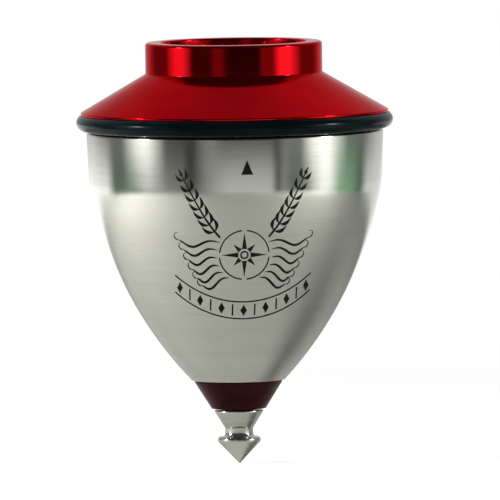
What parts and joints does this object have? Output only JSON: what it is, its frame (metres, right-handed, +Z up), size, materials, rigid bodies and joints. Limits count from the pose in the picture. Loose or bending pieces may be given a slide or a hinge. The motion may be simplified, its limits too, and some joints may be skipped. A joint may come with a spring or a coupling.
{
  "type": "spinning top",
  "caption": "Metal throwing top: hollow steel bell under a red screwed cap, rubber bumper ring between them, and a point that spins freely in a ball bearing in the nose.",
  "frame": {"origin": "the point of the tip, where the top touches the ground when it spins", "axes": "+Z up the spin axis, from the point to the cap"},
  "size_m": [0.06, 0.06, 0.08],
  "materials": {
    "red_cap": "polished red anodised",
    "bumper_rubber": "smooth black",
    "brushed_bell": "brushed round the axis",
    "dark_nose": "dark maroon anodised",
    "turned_tip": "fine turned",
    "fastener_steel": "plain zinc",
    "bearing_steel": "ground",
    "post_aluminium": "machined"
  },
  "bodies": {
    "body": {"top_cap": "red_cap", "cap_washer": "fastener_steel", "cap_screw": "fastener_steel", "bumper_ring": "bumper_rubber", "body_shell": "brushed_bell", "core_post": "post_aluminium", "floor_washer": "fastener_steel", "nose_housing": "dark_nose", "bearing_outer_race": "bearing_steel", "bearing_shield_lower": "bearing_steel", "bearing_shield_upper": "bearing_steel", "bearing_retainer": "fastener_steel"},
    "tip": {"tip": "turned_tip", "tip_spacer": "turned_tip", "tip_washer": "fastener_steel", "tip_locknut": "fastener_steel", "bearing_inner_race": "bearing_steel"},
    "cage": {"bearing_cage": "bearing_steel"},
    "ball_1": {"bearing_ball_1": "bearing_steel"},
    "ball_2": {"bearing_ball_2": "bearing_steel"},
    "ball_3": {"bearing_ball_3": "bearing_steel"},
    "ball_4": {"bearing_ball_4": "bearing_steel"},
    "ball_5": {"bearing_ball_5": "bearing_steel"},
    "ball_6": {"bearing_ball_6": "bearing_steel"},
    "ball_7": {"bearing_ball_7": "bearing_steel"}
  },
  "joints": [
    {"name": "tip_spin", "type": "hinge", "parent": "body", "child": "tip", "pos_m": [0, 0, 0], "axis": [0, 0, 1], "continuous": true},
    {"name": "cage_orbit", "type": "hinge", "parent": "body", "child": "cage", "pos_m": [0, 0, 0.013], "axis": [0, 0, 1], "continuous": true},
    {"name": "ball_1_roll", "type": "hinge", "parent": "cage", "child": "ball_1", "pos_m": [0.00275, 0, 0.013], "axis": [0, 0, 1], "continuous": true},
    {"name": "ball_2_roll", "type": "hinge", "parent": "cage", "child": "ball_2", "pos_m": [0.00171, 0.00215, 0.013], "axis": [0, 0, 1], "continuous": true},
    {"name": "ball_3_roll", "type": "hinge", "parent": "cage", "child": "ball_3", "pos_m": [-0.00061, 0.00268, 0.013], "axis": [0, 0, 1], "continuous": true},
    {"name": "ball_4_roll", "type": "hinge", "parent": "cage", "child": "ball_4", "pos_m": [-0.00248, 0.00119, 0.013], "axis": [0, 0, 1], "continuous": true},
    {"name": "ball_5_roll", "type": "hinge", "parent": "cage", "child": "ball_5", "pos_m": [-0.00248, -0.00119, 0.013], "axis": [0, 0, 1], "continuous": true},
    {"name": "ball_6_roll", "type": "hinge", "parent": "cage", "child": "ball_6", "pos_m": [-0.00061, -0.00268, 0.013], "axis": [0, 0, 1], "continuous": true},
    {"name": "ball_7_roll", "type": "hinge", "parent": "cage", "child": "ball_7", "pos_m": [0.00171, -0.00215, 0.013], "axis": [0, 0, 1], "continuous": true}
  ],
  "couplings": [
    {"joint": "cage_orbit", "follows": "tip_spin", "ratio": 0.3818},
    {"joint": "ball_1_roll", "follows": "tip_spin", "ratio": -1.9973},
    {"joint": "ball_2_roll", "follows": "tip_spin", "ratio": -1.9973},
    {"joint": "ball_3_roll", "follows": "tip_spin", "ratio": -1.9973},
    {"joint": "ball_4_roll", "follows": "tip_spin", "ratio": -1.9973},
    {"joint": "ball_5_roll", "follows": "tip_spin", "ratio": -1.9973},
    {"joint": "ball_6_roll", "follows": "tip_spin", "ratio": -1.9973},
    {"joint": "ball_7_roll", "follows": "tip_spin", "ratio": -1.9973}
  ]
}
